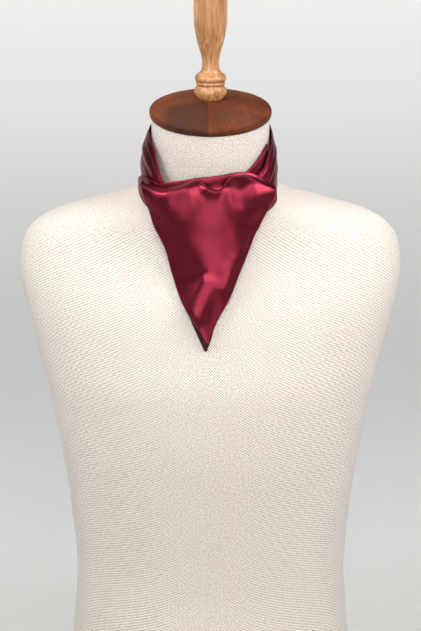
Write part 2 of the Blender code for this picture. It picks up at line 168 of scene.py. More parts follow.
def set_inputs(tree, node, inputs):
    """Gives a node's sockets their values, or links them to other nodes' outputs."""
    for socket, value in inputs.items():
        if isinstance(value, bpy.types.NodeSocket):
            tree.links.new(value, node.inputs[socket])
        else:
            node.inputs[socket].default_value = value


def add_node(tree, kind, inputs=(), **settings):
    made = tree.nodes.new(kind)
    for name, value in settings.items():
        setattr(made, name, value)
    set_inputs(tree, made, dict(inputs))
    return made


def per_metre(*millimetres):
    """The scale of a pattern from its real sizes: how many of each fit in a metre."""
    return tuple(float(round(1000 / size)) for size in millimetres)


def colour_stops(ramp_node, stops):
    ramp = ramp_node.color_ramp
    while len(ramp.elements) < len(stops):
        ramp.elements.new(0.5)
    for element, (place, code) in zip(ramp.elements, stops):
        element.position = place
        element.color = hex_colour(code)


print("wine red in linear light:", [round(level, 3) for level in hex_colour("#7C2636")[:3]])

# %% [markdown]
# Silk satin is woven with long threads floating over the face. They are dyed through and lie side by
# side, so they mirror light tinted by the dye, and where the cloth turns away from the light it goes
# nearly black. A metallic shader gives that tinted shine, and the fine threads spread it to a
# roughness of about 0.36. The threads are 0.1 mm apart, too fine to show, so the bump draws faint
# slubs 1.1 mm wide and 8 mm long instead. A second copy of the silk is rougher and painted much
# darker: painted shade for the blade that hangs in shadow beneath the front one.

# %% Silk satin, dyed wine red
SLUB = per_metre(1.111, 8.33, 1000.0)
DYE_CLOUD = per_metre(16.7, 40.0, 1000.0)
SLUB_HEIGHT = 0.0004


def silk(name, dark_tone, light_tone, metallic, roughness):
    made, tree, shader = new_material(name)
    place = add_node(tree, "ShaderNodeUVMap", uv_map="cloth").outputs["UV"]
    patterns = {}
    for pattern, scale, detail in (("slubs", SLUB, 3.0), ("dye", DYE_CLOUD, 2.0)):
        stretched = add_node(tree, "ShaderNodeMapping", {"Vector": place, "Scale": scale})
        inputs = {"Vector": stretched.outputs["Vector"], "Scale": 1.0, "Detail": detail}
        patterns[pattern] = add_node(tree, "ShaderNodeTexNoise", inputs).outputs["Fac"]
    tint = add_node(tree, "ShaderNodeValToRGB", {"Fac": patterns["dye"]})
    colour_stops(tint, [(0.25, dark_tone), (0.75, light_tone)])
    relief = {"Height": patterns["slubs"], "Strength": 0.05, "Distance": SLUB_HEIGHT}
    bump = add_node(tree, "ShaderNodeBump", relief)
    settings = {
        "Base Color": tint.outputs["Color"],
        "Metallic": metallic,
        "Roughness": roughness,
        "Specular IOR Level": 0.4,
        "Normal": bump.outputs["Normal"],
    }
    set_inputs(tree, shader, settings)
    return made


SILK = silk("silk_satin", "#7C2636", "#882A3A", 1.0, 0.36)
# painted shade: a rougher copy of the silk, painted much darker, for the blade in shadow beneath
SILK_PAINTED_SHADE = silk("silk_satin_painted_shade", "#38121C", "#3E141F", 0.6, 0.6)
print("silk finishes:", SILK.name, SILK_PAINTED_SHADE.name)

# %% [markdown]
# The form's cover is coarse plain-weave linen, undyed and matt. Its threads cross over and under each
# other, which shows as rows of small dark dots on a pale ground. Two sine waves multiplied together
# make such a chequer of raised threads and sunken holes. A wave 2.9 mm long gives a dot every 1.45 mm,
# a little coarser than the real weave, so that it still shows. Noise makes the threads uneven.

# %% Linen cover
LINEN_REPEAT = 0.0029
LINEN_FLECK = per_metre(1.923)[0]
THREAD_HEIGHT = 0.0004
THREAD_SHARE = 0.45


def linen_cover():
    made, tree, shader = new_material("linen_cover")
    place = add_node(tree, "ShaderNodeUVMap", uv_map="cloth").outputs["UV"]
    apart = add_node(tree, "ShaderNodeSeparateXYZ", {"Vector": place})
    waves = []
    for axis in ("X", "Y"):
        along = {0: apart.outputs[axis], 1: math.tau / LINEN_REPEAT}
        phase = add_node(tree, "ShaderNodeMath", along, operation="MULTIPLY")
        wave = add_node(tree, "ShaderNodeMath", {0: phase.outputs[0]}, operation="SINE")
        waves.append(wave.outputs[0])
    chequer = add_node(tree, "ShaderNodeMath", {0: waves[0], 1: waves[1]}, operation="MULTIPLY")
    flecks = add_node(tree, "ShaderNodeTexNoise", {"Vector": place, "Scale": LINEN_FLECK, "Detail": 3.0})
    woven = {0: chequer.outputs[0], 1: THREAD_SHARE, 2: flecks.outputs["Fac"]}
    level = add_node(tree, "ShaderNodeMath", woven, operation="MULTIPLY_ADD").outputs[0]
    tint = add_node(tree, "ShaderNodeValToRGB", {"Fac": level})
    colour_stops(tint, [(0.10, "#94877C"), (0.36, "#D8CCC2"), (0.62, "#EAE0D7"), (0.90, "#F6EFE8")])
    relief = {"Height": level, "Strength": 0.5, "Distance": THREAD_HEIGHT}
    bump = add_node(tree, "ShaderNodeBump", relief)
    settings = {
        "Base Color": tint.outputs["Color"],
        "Roughness": 0.92,
        "Sheen Weight": 0.15,
        "Normal": bump.outputs["Normal"],
    }
    set_inputs(tree, shader, settings)
    return made


LINEN = linen_cover()
print("linen dots in millimetres apart:", 500 * LINEN_REPEAT)

# %% [markdown]
# The cap is a hardwood disc with a dark reddish stain under thin satin varnish. Two boards are glued
# edge to edge, so the grain changes at a line through the middle: rings on the left board, straight
# lines on the right one. The stain is darker in a patch on the left board. Towards the back the cap is
# painted paler, a painted sheen of the varnish. The post is a paler turned wood, with streaks along it
# and small dark knots. Noise stretched along the grain makes the streaks, and soft edges between two
# places make the boards, the patch and the painted sheen.

# %% Stained and varnished wood
MIX_FIRST, MIX_SECOND, MIX_COLOUR = 6, 7, 2  # the colour sockets of a mix node
GRAIN_HEIGHT = 0.0002
WANDER_REACH = 0.007

Grain = namedtuple("Grain", "name scale detail distortion")
CAP_GRAINS = (
    Grain("wander", per_metre(11.1, 11.1, 11.1), 3.0, 0.0),
    Grain("lines", per_metre(1.923, 25.0, 3.33), 4.0, 0.2),
    Grain("stain", per_metre(25.0, 45.5, 33.3), 3.0, 0.5),
)
POST_GRAINS = (
    Grain("streaks", per_metre(3.03, 3.03, 38.5), 5.0, 0.4),
    Grain("knots", per_metre(3.85, 3.85, 5.88), 2.0, 1.2),
)
Edge = namedtuple("Edge", "name line axis start end")
CAP_EDGES = (
    Edge("right_board", "straight", "X", -0.0016, -0.0006),
    # painted sheen: where the cap turns paler towards the back
    Edge("back", "wavy", "Y", -0.005, 0.050),
    Edge("patch_left", "wavy", "X", -0.056, -0.042),
    Edge("patch_right", "straight", "X", -0.0006, -0.0026),
    Edge("patch_front", "wavy", "Y", -0.002, -0.018),
)


def grain_noises(tree, place, grains):
    """One stretched noise for each row of a table of grains."""
    made = {}
    for grain in grains:
        stretched = add_node(tree, "ShaderNodeMapping", {"Vector": place, "Scale": grain.scale})
        inputs = {"Vector": stretched.outputs["Vector"], "Scale": 1.0}
        inputs.update(Detail=grain.detail, Distortion=grain.distortion)
        made[grain.name] = add_node(tree, "ShaderNodeTexNoise", inputs)
    return made


def cap_edges(tree, place, wander):
    """How far each point lies inside the boards, the stained patch and the painted sheen at the back, from
    0 to 1.
    """
    shift = add_node(tree, "ShaderNodeVectorMath", {0: wander, 1: (-0.5,) * 3}, operation="ADD")
    reach = {0: shift.outputs[0], 1: (WANDER_REACH,) * 3}
    shift = add_node(tree, "ShaderNodeVectorMath", reach, operation="MULTIPLY")
    moved = add_node(tree, "ShaderNodeVectorMath", {0: place, 1: shift.outputs[0]}, operation="ADD")
    lines = {
        "straight": add_node(tree, "ShaderNodeSeparateXYZ", {"Vector": place}),
        "wavy": add_node(tree, "ShaderNodeSeparateXYZ", {"Vector": moved.outputs[0]}),
    }
    made = {}
    for edge in CAP_EDGES:
        line = lines[edge.line].outputs[edge.axis]
        inputs = {"Value": line, "From Min": edge.start, "From Max": edge.end}
        soft = add_node(tree, "ShaderNodeMapRange", inputs, interpolation_type="SMOOTHSTEP")
        made[edge.name] = soft.outputs["Result"]
    return made


def stained_wood():
    made, tree, shader = new_material("stained_wood")
    place = add_node(tree, "ShaderNodeTexCoord").outputs["Object"]
    noises = grain_noises(tree, place, CAP_GRAINS)
    edges = cap_edges(tree, place, noises["wander"].outputs["Color"])

    heart = {"Vector": place, "Location": (0.085, -0.020, 0.0)}
    rings_at = add_node(tree, "ShaderNodeMapping", heart).outputs["Vector"]
    growth = {"Vector": rings_at, "Scale": 185.0, "Distortion": 2.2, "Detail": 2.0}
    rings = add_node(tree, "ShaderNodeTexWave", growth, wave_type="RINGS", rings_direction="Z")
    both = {0: edges["right_board"], 2: rings.outputs["Fac"], 3: noises["lines"].outputs["Fac"]}
    grain = add_node(tree, "ShaderNodeMix", both).outputs[0]

    tints = []
    for stops in (
        [(0.35, "#6E3C28"), (0.55, "#84492C"), (0.70, "#9A5630")],
        [(0.35, "#5E3220"), (0.55, "#703B22"), (0.70, "#834626")],
    ):
        board = add_node(tree, "ShaderNodeValToRGB", {"Fac": noises["stain"].outputs["Fac"]})
        colour_stops(board, stops)
        tints.append(board.outputs["Color"])
    streaks = add_node(tree, "ShaderNodeValToRGB", {"Fac": grain})
    colour_stops(streaks, [(0.20, "#A8988C"), (0.50, "#E2DAD4"), (0.75, "#FFFFFF")])

    # painted sheen: the paler colour towards the back of the cap, at 0.6 strength
    back = add_node(tree, "ShaderNodeMath", {0: edges["back"], 1: 0.6}, operation="MULTIPLY").outputs[0]
    patch = edges["patch_left"]
    for inside in (edges["patch_right"], edges["patch_front"], 0.8):
        patch = add_node(tree, "ShaderNodeMath", {0: patch, 1: inside}, operation="MULTIPLY").outputs[0]
    tint = tints[0]
    for share, layer, mode in (
        (edges["right_board"], tints[1], "MIX"),
        # painted sheen: the cap turns paler towards the back
        (back, hex_colour("#8A5E48"), "MIX"),
        (patch, hex_colour("#442A22"), "MIX"),
        (0.8, streaks.outputs["Color"], "MULTIPLY"),
    ):
        layers = {0: share, MIX_FIRST: tint, MIX_SECOND: layer}
        mixed = add_node(tree, "ShaderNodeMix", layers, data_type="RGBA", blend_type=mode)
        tint = mixed.outputs[MIX_COLOUR]
    bump = add_node(tree, "ShaderNodeBump", {"Height": grain, "Strength": 0.15, "Distance": GRAIN_HEIGHT})
    settings = {
        "Base Color": tint,
        "Roughness": 0.42,
        "Specular IOR Level": 0.12,
        "Normal": bump.outputs["Normal"],
    }
    set_inputs(tree, shader, settings)
    return made


def varnished_wood():
    made, tree, shader = new_material("varnished_wood")
    place = add_node(tree, "ShaderNodeTexCoord").outputs["Object"]
    noises = grain_noises(tree, place, POST_GRAINS)
    streaks = noises["streaks"].outputs["Fac"]
    ground = add_node(tree, "ShaderNodeValToRGB", {"Fac": streaks})
    colour_stops(ground, [(0.30, "#936240"), (0.45, "#B67F4E"), (0.58, "#CA9260"), (0.72, "#DDA87B")])
    dark = add_node(tree, "ShaderNodeValToRGB", {"Fac": noises["knots"].outputs["Fac"]})
    colour_stops(dark, [(0.24, "#5A3318"), (0.33, "#FFFFFF")])
    layers = {0: 1.0, MIX_FIRST: ground.outputs["Color"], MIX_SECOND: dark.outputs["Color"]}
    tint = add_node(tree, "ShaderNodeMix", layers, data_type="RGBA", blend_type="MULTIPLY")
    bump = add_node(tree, "ShaderNodeBump", {"Height": streaks, "Strength": 0.2, "Distance": GRAIN_HEIGHT})
    settings = {
        "Base Color": tint.outputs[MIX_COLOUR],
        "Roughness": 0.34,
        "Coat Weight": 0.3,
        "Coat Roughness": 0.2,
        "Normal": bump.outputs["Normal"],
    }
    set_inputs(tree, shader, settings)
    return made


CAP_WOOD = stained_wood()
POST_WOOD = varnished_wood()
print("wood finishes:", CAP_WOOD.name, POST_WOOD.name)

# %% [markdown]
# The camera stands a little above the collar and looks down 16 degrees from 2.6 m away, through a
# long lens, which keeps the proportions flat as in a catalogue picture. The lens is worked out from
# the picture's height in pixels.

# %% Camera
PICTURE_HEIGHT = 631
FOCUS_PIXELS = 2429.0
SENSOR = 36.0
CAMERA_DISTANCE = 2.6
CAMERA_RISE = math.radians(16)
AIM = Vector((0.0, 0.0, 0.415))

lens = bpy.data.cameras.new("camera")
lens.sensor_width = SENSOR
lens.lens = FOCUS_PIXELS / PICTURE_HEIGHT * SENSOR
lens.clip_end = 60.0
camera = bpy.data.objects.new("camera", lens)
camera.location = AIM + CAMERA_DISTANCE * Vector((0.0, -math.cos(CAMERA_RISE), math.sin(CAMERA_RISE)))
camera.rotation_euler = (math.pi / 2 - CAMERA_RISE, 0.0, 0.0)
bpy.context.scene.collection.objects.link(camera)
bpy.context.scene.camera = camera
print("lens in millimetres:", round(lens.lens, 1))

# %% [markdown]
# The torso is a loft: a row of the table is a horizontal section, a rounded oval with its own width,
# depth and squareness. The neck's last sections lean with the cap. The solid beneath has the same
# sections with fewer points, so this finer skin lies exactly on it.

# %% Linen torso
CAP_TILT = math.radians(9.0)
CAP_UNDERSIDE = 0.6324
SEAM_GAP = 0.0003

Section = namedtuple("Section", "z half_width front back square lean")
TORSO = (
    Section(0.000, 0.1510, -0.1110, 0.1110, 2.40, 0.0),
    Section(0.004, 0.1530, -0.1130, 0.1130, 2.40, 0.0),
    Section(0.060, 0.1510, -0.1110, 0.1090, 2.40, 0.0),
    Section(0.135, 0.1460, -0.1060, 0.0990, 2.40, 0.0),
    Section(0.215, 0.1520, -0.1110, 0.1010, 2.45, 0.0),
    Section(0.295, 0.1640, -0.1160, 0.1080, 2.50, 0.0),
    Section(0.350, 0.1750, -0.1150, 0.1130, 2.50, 0.0),
    Section(0.400, 0.1880, -0.1050, 0.1150, 2.50, 0.0),
    Section(0.440, 0.1980, -0.0945, 0.1140, 2.45, 0.0),
    Section(0.475, 0.2030, -0.0785, 0.1110, 2.35, 0.0),
    Section(0.498, 0.1990, -0.0665, 0.1060, 2.25, 0.0),
    Section(0.513, 0.1880, -0.0600, 0.1020, 2.15, 0.0),
    Section(0.525, 0.1680, -0.0560, 0.0970, 2.05, 0.0),
    Section(0.534, 0.1400, -0.0540, 0.0920, 2.00, 0.0),
    Section(0.542, 0.1060, -0.0535, 0.0860, 2.00, 0.1),
    Section(0.549, 0.0800, -0.0540, 0.0800, 2.00, 0.2),
    Section(0.558, 0.0680, -0.0555, 0.0735, 2.00, 0.3),
    Section(0.570, 0.0630, -0.0575, 0.0680, 2.00, 0.5),
    Section(0.590, 0.0618, -0.0595, 0.0640, 2.00, 0.8),
    Section(0.612, 0.0618, -0.0610, 0.0622, 2.00, 1.0),
    Section(CAP_UNDERSIDE - SEAM_GAP, 0.0618, -0.0612, 0.0612, 2.00, 1.0),
)
SHARP_EDGE = math.radians(40)


def torso_points(z, turn):
    columns = {name: table_curve(TORSO, name)(z) for name in Section._fields[1:]}
    middle = (columns["front"] + columns["back"]) / 2
    depth = (columns["back"] - columns["front"]) / 2
    power = 2 / columns["square"]
    x = columns["half_width"] * np.sign(np.cos(turn)) * np.abs(np.cos(turn)) ** power
    y = middle + depth * np.sign(np.sin(turn)) * np.abs(np.sin(turn)) ** power
    rise = columns["lean"] * y * math.tan(CAP_TILT)
    return np.stack([x, y, z + rise], axis=-1)


def close_ends(made, rows, columns):
    """Fills the first and the last ring of a grid that runs from the top down."""
    mesh = made.data
    points = [vertex.co[:] for vertex in mesh.vertices]
    faces = [list(face.vertices) for face in mesh.polygons]
    coordinates = [entry.uv[:] for entry in mesh.uv_layers["cloth"].data]
    for ring in (list(range(columns)), list(reversed(range((rows - 1) * columns, rows * columns)))):
        faces.append(ring)
        coordinates += [(points[i][0], points[i][1]) for i in ring]
    mesh.clear_geometry()
    mesh.from_pydata(points, [], faces)
    layer = mesh.uv_layers.new(name="cloth")
    layer.data.foreach_set("uv", np.array(coordinates, np.float32).reshape(-1))
    mesh.shade_smooth()
    mesh.set_sharp_from_angle(angle=SHARP_EDGE)


LOW_RINGS = np.linspace(0.0, 0.46, 70)
FOOT_RINGS = [0.0015, 0.004]
HIGH_RINGS = np.linspace(0.463, TORSO[-1].z, 110)
TORSO_SIDES = 180


def linen_torso():
    levels = np.unique(np.concatenate([LOW_RINGS, FOOT_RINGS, HIGH_RINGS]))[::-1]
    turns = math.pi / 2 + np.linspace(0.0, math.tau, TORSO_SIDES, endpoint=False)
    z, turn = np.meshgrid(levels, turns, indexing="ij")
    made = grid_object("linen_torso", torso_points(z, turn), LINEN, around=True)
    close_ends(made, len(levels), len(turns))
    return made


torso = linen_torso()
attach(torso, "root")
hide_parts("form_torso")
print("torso faces:", len(torso.data.polygons))

# %% [markdown]
# The cap and the post are turned on a lathe, so each is one profile spun round an axis. The cap is
# then tilted forward with the neck. The post's foot is carved to the dome that it stands on: its
# lowest rings take their height from the dome's own surface.

# %% Neck cap and post
CAP_RADIUS = 0.0640
CAP_EDGE = 0.0082
CAP_DOME = 0.0108
CAP_DOME_RADIUS = 0.0622
POST_BACK = 0.0015
FOOT_RADIUS = 0.0136

Turn = namedtuple("Turn", "z radius")
POST = (
    Turn(0.6535, 0.0158),
    Turn(0.6580, 0.0170),
    Turn(0.6612, 0.0163),
    Turn(0.6630, 0.0152),
    Turn(0.6640, 0.0143),
    Turn(0.6648, 0.0142),
    Turn(0.6655, 0.0150),
    Turn(0.6668, 0.0154),
    Turn(0.6680, 0.0152),
    Turn(0.6685, 0.0146),
    Turn(0.6691, 0.0148),
    Turn(0.6697, 0.0158),
    Turn(0.6719, 0.0166),
    Turn(0.6745, 0.0158),
    Turn(0.6768, 0.0134),
    Turn(0.6782, 0.0112),
    Turn(0.6788, 0.0107),
    Turn(0.6815, 0.0096),
    Turn(0.6860, 0.0090),
    Turn(0.6915, 0.0092),
    Turn(0.6995, 0.0108),
    Turn(0.7077, 0.0132),
    Turn(0.7200, 0.0160),
    Turn(0.7330, 0.0175),
    Turn(0.7480, 0.0177),
    Turn(0.7620, 0.0174),
    Turn(0.7730, 0.0160),
    Turn(0.7805, 0.0134),
    Turn(0.7855, 0.0092),
    Turn(0.7878, 0.0045),
    Turn(0.7883, 0.0004),
)

Rim = namedtuple("Rim", "radius z")
CAP_RIM = (
    Rim(0.0600, 0.0),
    Rim(0.0622, 0.0003),
    Rim(0.0634, 0.0012),
    Rim(CAP_RADIUS, 0.0030),
    Rim(CAP_RADIUS, 0.0052),
    Rim(0.0637, 0.0067),
    Rim(0.0631, 0.0077),
)
POST_FOOT = (Rim(0.0030, 0.0), Rim(0.0085, 0.0), Rim(FOOT_RADIUS, 0.0), Rim(FOOT_RADIUS + 0.0012, 0.0018))
CAP_SIDES = 160
DOME_RINGS = 40
POST_SIDES = 96
POST_RINGS = 220
HEIGHT_ROUNDS = 12


def dome_height(radius):
    return CAP_EDGE + CAP_DOME * (1 - (radius / CAP_DOME_RADIUS) ** 2)


def dome_surface(x, y):
    """The height of the tilted cap's top above the points (x, y)."""
    z = np.full_like(x, CAP_UNDERSIDE + CAP_EDGE + CAP_DOME)
    for _ in range(HEIGHT_ROUNDS):
        across = y * math.cos(CAP_TILT) + (z - CAP_UNDERSIDE) * math.sin(CAP_TILT)
        height = dome_height(np.hypot(x, across))
        z = CAP_UNDERSIDE + (height + y * math.sin(CAP_TILT)) / math.cos(CAP_TILT)
    return z


def spun(profile, sides):
    """Rings round the z axis, one for each row of a profile."""
    turns = np.linspace(0.0, math.tau, sides, endpoint=False)
    radius = np.array([row.radius for row in profile])[:, None]
    z = np.array([row.z for row in profile])[:, None] + 0 * turns
    return np.stack([radius * np.cos(turns), radius * np.sin(turns), z], axis=-1)


def wooden_cap():
    radii = CAP_DOME_RADIUS * np.linspace(1, 0.01, DOME_RINGS)
    dome = [Rim(radius, dome_height(radius)) for radius in radii]
    points = spun([*CAP_RIM, *dome][::-1], CAP_SIDES)
    x, y, z = points[..., 0], points[..., 1], points[..., 2]
    forward = y * math.cos(CAP_TILT) - z * math.sin(CAP_TILT)
    up = y * math.sin(CAP_TILT) + z * math.cos(CAP_TILT) + CAP_UNDERSIDE
    leant = np.stack([x, forward, up], axis=-1)
    made = grid_object("wooden_cap", leant, CAP_WOOD, around=True)
    close_ends(made, *points.shape[:2])
    return made


def wooden_post():
    radius = table_curve(POST, "radius")
    levels = np.linspace(POST[0].z, POST[-1].z, POST_RINGS)
    body = spun([Rim(radius(z), z) for z in levels], POST_SIDES)
    foot = spun(POST_FOOT, POST_SIDES)
    foot[..., 2] += dome_surface(foot[..., 0], foot[..., 1] + POST_BACK) + SEAM_GAP
    points = np.concatenate([foot, body])
    points[..., 1] += POST_BACK
    points = points[::-1]
    made = grid_object("wooden_post", points, POST_WOOD, around=True)
    close_ends(made, *points.shape[:2])
    return made


cap = wooden_cap()
post = wooden_post()
TURNED = ((cap, "neck_cap", "stained_wood"), (post, "finial", "varnished_wood"))
for piece, node_name, slot_name in TURNED:
    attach(piece, "root")
    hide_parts(node_name)
print("cap and post faces:", len(cap.data.polygons), len(post.data.polygons))

# %% [markdown]
# The neckband stands off the neck like a loose collar, so it is drawn round the neck's axis: at each
# angle the table gives its top and bottom edge. The pleats run lengthwise. Each is a soft ridge
# with one steep side, where the fold of cloth lies over the next, and its depth wanders along the
# band, because no tied band keeps its pleats even.

# %% Pleated neckband
Band = namedtuple("Band", "angle top_z top_radius low_z low_radius bulge")
LEFT_BAND = (
    Band(30, 0.5620, 0.0705, 0.5360, 0.0760, 0.0000),
    Band(42, 0.5765, 0.0740, 0.5420, 0.0775, 0.0005),
    Band(50, 0.5905, 0.0715, 0.5460, 0.0775, 0.0010),
    Band(59, 0.6033, 0.0680, 0.5510, 0.0755, 0.0014),
    Band(75, 0.6135, 0.0660, 0.5590, 0.0738, 0.0018),
    Band(94, 0.6204, 0.0639, 0.5660, 0.0730, 0.0032),
    Band(115, 0.6215, 0.0638, 0.5690, 0.0738, 0.0028),
    Band(145, 0.6220, 0.0638, 0.5720, 0.0755, 0.0022),
    Band(180, 0.6220, 0.0639, 0.5740, 0.0772, 0.0018),
)
RIGHT_BAND = (
    Band(30, 0.5710, 0.0690, 0.5380, 0.0755, 0.0000),
    Band(40, 0.5770, 0.0695, 0.5410, 0.0765, 0.0003),
    Band(52, 0.5845, 0.0695, 0.5460, 0.0762, 0.0008),
    Band(62, 0.5965, 0.0688, 0.5510, 0.0745, 0.0012),
    Band(70, 0.6060, 0.0674, 0.5560, 0.0725, 0.0014),
    Band(80, 0.6150, 0.0652, 0.5610, 0.0712, 0.0015),
    Band(94, 0.6200, 0.0635, 0.5650, 0.0702, 0.0015),
    Band(115, 0.6212, 0.0635, 0.5690, 0.0722, 0.0018),
    Band(145, 0.6220, 0.0637, 0.5720, 0.0750, 0.0018),
    Band(180, 0.6220, 0.0639, 0.5740, 0.0772, 0.0018),
)
SEAM_ANGLE = 0.20

Pleat = namedtuple("Pleat", "at_front at_back upper lower height wander")
PLEATS = (
    Pleat(0.10, 0.14, 0.10, 0.07, 0.0008, 0.3),
    Pleat(0.36, 0.42, 0.16, 0.08, 0.0014, 1.7),
    Pleat(0.68, 0.74, 0.16, 0.08, 0.0013, 3.1),
    Pleat(0.54, 0.58, 0.05, 0.04, 0.0003, 4.4),
)
PLEAT_DRIFT, DRIFT_TURNS = 0.015, 9
PLEAT_SWELL, SWELL_TURNS = 0.25, 14
EDGE_FADE = 1 / 6
BAND_COLUMNS = 190
BAND_ROWS = 64


def polar_points(angle, radius, z):
    """Points at angles from the front, in degrees, positive towards the viewer's right."""
    turn = np.radians(angle)
    return np.stack([radius * np.sin(turn), -radius * np.cos(turn), z], axis=-1)


def lopsided(offset, before, after):
    """A soft hump whose two sides fall away over different widths."""
    width = np.where(offset < 0, before, after)
    return np.exp(-((offset / width) ** 2))


def band_radius(rows, angle, share):
    top = table_curve(rows, "top_radius")(angle)
    low = table_curve(rows, "low_radius")(angle)
    bulge = table_curve(rows, "bulge")(angle)
    radius = mix(top, low, share) + bulge * np.sin(math.pi * share)
    back = (angle - rows[0].angle) / (180 - rows[0].angle)
    edge_fade = np.minimum(1.0, np.minimum(share, 1 - share) / EDGE_FADE)
    for pleat in PLEATS:
        drift = PLEAT_DRIFT * np.sin(DRIFT_TURNS * back + pleat.wander)
        middle = mix(pleat.at_front, pleat.at_back, back) + drift
        swell = 1 + PLEAT_SWELL * np.sin(SWELL_TURNS * back + 2 * pleat.wander)
        ridge = pleat.height * lopsided(share - middle, pleat.upper, pleat.lower)
        radius = radius + edge_fade * swell * ridge
    return radius


def neckband(name, rows, side):
    angles = np.linspace(rows[0].angle, 180 - SEAM_ANGLE, BAND_COLUMNS)
    angle, share = np.meshgrid(angles, shares(BAND_ROWS))
    z = mix(table_curve(rows, "top_z")(angle), table_curve(rows, "low_z")(angle), share)
    points = polar_points(side * angle, band_radius(rows, angle, share), z)
    return cloth_shell(name, points, SILK, inward=side < 0)


left_band = neckband("silk_neckband_left", LEFT_BAND, -1)
right_band = neckband("silk_neckband_right", RIGHT_BAND, 1)
print("band height at the back:", round(LEFT_BAND[-1].top_z - LEFT_BAND[-1].low_z, 3))

# %% [markdown]
# Inside the right band a pleat has slipped up and rolled over. It is a strip folded in two along
# its top. The helper below walks round such a fold: given a distance along the cloth from the crease,
# it says how far below the crease the point lies and how far behind the face.

# %% Rolled pleat inside the right band
Tuck = namedtuple("Tuck", "angle top_z height")
RIGHT_TUCK = (
    Tuck(30, 0.5790, 0.0200),
    Tuck(36, 0.5850, 0.0210),
    Tuck(43, 0.5905, 0.0200),
    Tuck(55, 0.6000, 0.0160),
    Tuck(66, 0.6080, 0.0090),
)
TUCK_ROLL = 0.0016
TUCK_GAP = 0.0016
TUCK_BACK = 0.7
SOLID_WALL = 0.0012
FOLD_START = 0.3
FOLD_END = 0.7
TUCK_COLUMNS = 80
TUCK_ROWS = 61


def rolled(distance, radius):
    """How far from a folded edge and how far behind the face a point of the cloth lies."""
    quarter = radius * math.pi / 2
    turn = np.clip(np.abs(distance) / radius, 0, math.pi / 2)
    round_part = np.abs(distance) < quarter
    along = np.where(round_part, radius * (1 - np.cos(turn)), radius + np.abs(distance) - quarter)
    behind = np.where(round_part, radius * (1 - np.sin(turn)), 0.0)
    behind = np.where(round_part & (distance < 0), radius * (1 + np.sin(turn)), behind)
    behind = np.where(~round_part & (distance < 0), 2 * radius, behind)
    return along, behind


def right_tuck():
    quarter = TUCK_ROLL * math.pi / 2
    angles = np.linspace(RIGHT_TUCK[0].angle, RIGHT_TUCK[-1].angle, TUCK_COLUMNS)
    angle, share = np.meshgrid(angles, shares(TUCK_ROWS))
    reach = table_curve(RIGHT_TUCK, "height")(angle)
    back_flap = mix(-TUCK_BACK * reach, -quarter, share / FOLD_START)
    fold = mix(-quarter, quarter, (share - FOLD_START) / (FOLD_END - FOLD_START))
    front_flap = mix(quarter, reach, (share - FOLD_END) / (1 - FOLD_END))
    distance = np.where(share < FOLD_START, back_flap, np.where(share < FOLD_END, fold, front_flap))
    along, behind = rolled(distance, TUCK_ROLL)
    z = table_curve(RIGHT_TUCK, "top_z")(angle) - along
    band_top = table_curve(RIGHT_BAND, "top_z")(angle)
    band_low = table_curve(RIGHT_BAND, "low_z")(angle)
    share_down = np.maximum((band_top - z) / (band_top - band_low), 0.0)
    outer = band_radius(RIGHT_BAND, angle, share_down) - SOLID_WALL - TUCK_GAP
    return cloth_shell("silk_right_tuck", polar_points(angle, outer - behind, z), SILK)


tuck = right_tuck()
print("tuck runs over degrees:", RIGHT_TUCK[-1].angle - RIGHT_TUCK[0].angle)

# %% [markdown]
# The crossing is the stretch of silk that passes in front of the throat and turns round the left
# band. Only its top edge shows, as a thin dark line and a sliver of red between the linen and the
# fall. It is a second band, drawn the same way, with a wide shallow dip behind the fall's notch. The
# dip faces up a little, so its sliver in the notch catches light.

# %% Crossing at the throat
Wrap = namedtuple("Wrap", "angle top_z top_radius low_z low_radius")
CROSSING = (
    Wrap(-82, 0.5690, 0.0766, 0.5580, 0.0770),
    Wrap(-64, 0.5756, 0.0764, 0.5490, 0.0790),
    Wrap(-50, 0.5739, 0.0777, 0.5450, 0.0828),
    Wrap(-44, 0.5725, 0.0778, 0.5430, 0.0840),
    Wrap(-31, 0.5766, 0.0755, 0.5410, 0.0850),
    Wrap(-22, 0.5786, 0.0731, 0.5400, 0.0856),
    Wrap(-12, 0.5812, 0.0702, 0.5400, 0.0858),
    Wrap(0, 0.5826, 0.0690, 0.5400, 0.0858),
    Wrap(13, 0.5843, 0.0677, 0.5400, 0.0858),
    Wrap(23, 0.5855, 0.0671, 0.5405, 0.0855),
    Wrap(34, 0.5848, 0.0686, 0.5415, 0.0848),
    Wrap(43, 0.5805, 0.0718, 0.5430, 0.0835),
    Wrap(52, 0.5710, 0.0768, 0.5450, 0.0805),
    Wrap(62, 0.5620, 0.0780, 0.5500, 0.0786),
)

DIP_SHARE = 0.30
DIP_WIDTH = 0.20
DIP_ANGLE = 3.0
DIP_SPAN = 24.0
DIP_DEPTH = 0.0050
STEEP_TOP = 0.8
CROSSING_COLUMNS = 220
CROSSING_ROWS = 50


def throat_crossing():
    angles = np.linspace(CROSSING[0].angle, CROSSING[-1].angle, CROSSING_COLUMNS)
    angle, share = np.meshgrid(angles, shares(CROSSING_ROWS))
    z = mix(table_curve(CROSSING, "top_z")(angle), table_curve(CROSSING, "low_z")(angle), share)
    top = table_curve(CROSSING, "top_radius")(angle)
    low = table_curve(CROSSING, "low_radius")(angle)
    dip = np.exp(-(((share - DIP_SHARE) / DIP_WIDTH) ** 2) - ((angle - DIP_ANGLE) / DIP_SPAN) ** 2)
    radius = mix(top, low, share**STEEP_TOP) - DIP_DEPTH * dip
    return cloth_shell("silk_throat_crossing", polar_points(angle, radius, z), SILK)


crossing = throat_crossing()
print("crossing dips by:", DIP_DEPTH)

# %% [markdown]
# The fall lies on an arc that widens from the throat to the chest. The first table gives, for each
# height, how far out its middle stands and its radius. Beyond two long bend lines the cloth turns
# away, steeply at first and then less. Those turned sides stay dark and give the middle its edges. An
# even bend would look like folded card, so its softness and slope change down the line.

